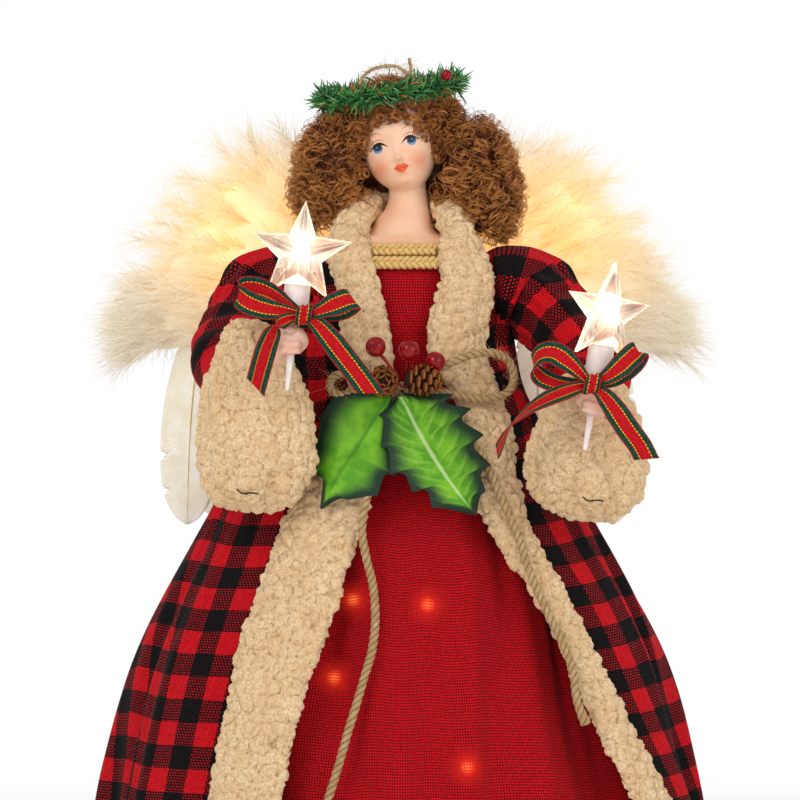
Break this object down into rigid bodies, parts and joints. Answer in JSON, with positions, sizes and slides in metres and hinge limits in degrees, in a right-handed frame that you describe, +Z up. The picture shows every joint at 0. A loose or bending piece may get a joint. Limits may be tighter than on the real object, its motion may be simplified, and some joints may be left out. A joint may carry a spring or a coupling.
{
  "type": "lighted tree topper",
  "caption": "Angel doll tree topper with feather wings, a plaid coat and two lit star candles, made to slip over a tree's tip on a hollow cone.",
  "frame": {"origin": "middle of the cone's foot, on the plane of its flange", "axes": "+Z up, the doll faces -Y, +X is the doll's left, on the right of a front view"},
  "size_m": [0.3149, 0.1999, 0.407],
  "materials": {
    "card": "matte card",
    "stuffing": "plain calico over stuffing",
    "porcelain": "matte bisque with a painted face",
    "hair": "tight curls of fine fibre",
    "needles": "matte",
    "berry": "glossy lacquer",
    "straw": "gimp braid with a dull sheen",
    "red_cloth": "open plain weave",
    "plaid": "checked brushed cotton",
    "fleece": "curled pile",
    "white_plastic": "satin",
    "bulb_glass": "clear, lit warm",
    "acrylic": "clear, polished facets",
    "ribbon": "grosgrain with woven stripes",
    "leaf": "coated cloth with a soft shine",
    "bark": "dry, matte",
    "twine": "twisted jute",
    "feather": "down and flat feathers",
    "wire": "bare wire",
    "lead": "matte"
  },
  "bodies": {
    "doll": {"base_cone": "card", "torso_core": "stuffing", "shoulder_wire": "wire", "dress_bodice": "red_cloth", "dress_skirt": "red_cloth", "porcelain_head": "porcelain", "coat": "plaid", "fleece_collar": "fleece", "left_front_trim": "fleece", "right_front_trim": "fleece", "curly_hair": "hair", "needle_wreath": "needles", "gold_braid": "straw", "left_holly_leaf": "leaf", "right_holly_leaf": "leaf", "front_pine_cone": "bark", "side_pine_cone": "bark", "waist_berry_1": "berry", "waist_berry_2": "berry", "waist_berry_3": "berry", "twine_bow": "twine", "left_twine_tail": "twine", "right_twine_tail": "twine", "wing_plate": "card", "skirt_light_string": "lead", "skirt_bulb_1": "bulb_glass", "skirt_bulb_2": "bulb_glass", "skirt_bulb_3": "bulb_glass", "skirt_bulb_4": "bulb_glass"},
    "left_arm": {"left_sleeve": "plaid", "left_cuff": "fleece", "left_arm_wire": "wire", "left_hand": "porcelain", "left_ribbon_bow": "ribbon"},
    "left_candle": {"left_candle_socket": "white_plastic", "left_star_bulb": "bulb_glass"},
    "left_star": {"left_star_cap": "acrylic"},
    "left_wing": {"left_marabou": "feather", "left_flight_feathers": "feather", "left_wing_spar": "wire", "left_wing_lead": "lead", "left_wing_bulb_1": "bulb_glass", "left_wing_bulb_2": "bulb_glass"},
    "right_arm": {"right_sleeve": "plaid", "right_cuff": "fleece", "right_arm_wire": "wire", "right_hand": "porcelain", "right_ribbon_bow": "ribbon"},
    "right_candle": {"right_candle_socket": "white_plastic", "right_star_bulb": "bulb_glass"},
    "right_star": {"right_star_cap": "acrylic"},
    "right_wing": {"right_marabou": "feather", "right_flight_feathers": "feather", "right_wing_spar": "wire", "right_wing_lead": "lead", "right_wing_bulb_1": "bulb_glass", "right_wing_bulb_2": "bulb_glass"}
  },
  "joints": [
    {"name": "left_arm_raise", "type": "hinge", "parent": "doll", "child": "left_arm", "pos_m": [-0.05, 0.0007, 0.3], "axis": [-1, 0, 0], "range_deg": [0, 20]},
    {"name": "left_candle_turn", "type": "hinge", "parent": "left_arm", "child": "left_candle", "pos_m": [-0.052, -0.0833, 0.271], "axis": [0.0998, 0, 0.995], "range_deg": [-60, 60]},
    {"name": "left_star_pull", "type": "slide", "parent": "left_candle", "child": "left_star", "axis": [0.0998, 0, 0.995], "range_m": [0, 0.028]},
    {"name": "left_wing_fold", "type": "hinge", "parent": "doll", "child": "left_wing", "pos_m": [-0.013, 0.04158, 0.311], "axis": [0, 0, -1], "range_deg": [0, 25]},
    {"name": "right_arm_raise", "type": "hinge", "parent": "doll", "child": "right_arm", "pos_m": [0.05, 0.0007, 0.3], "axis": [-1, 0, 0], "range_deg": [0, 20]},
    {"name": "right_candle_turn", "type": "hinge", "parent": "right_arm", "child": "right_candle", "pos_m": [0.093, -0.0843, 0.242], "axis": [0.1593, 0, 0.9872], "range_deg": [-60, 60]},
    {"name": "right_star_pull", "type": "slide", "parent": "right_candle", "child": "right_star", "axis": [0.1593, 0, 0.9872], "range_m": [0, 0.028]},
    {"name": "right_wing_fold", "type": "hinge", "parent": "doll", "child": "right_wing", "pos_m": [0.013, 0.04158, 0.311], "axis": [0, 0, 1], "range_deg": [0, 25]}
  ]
}
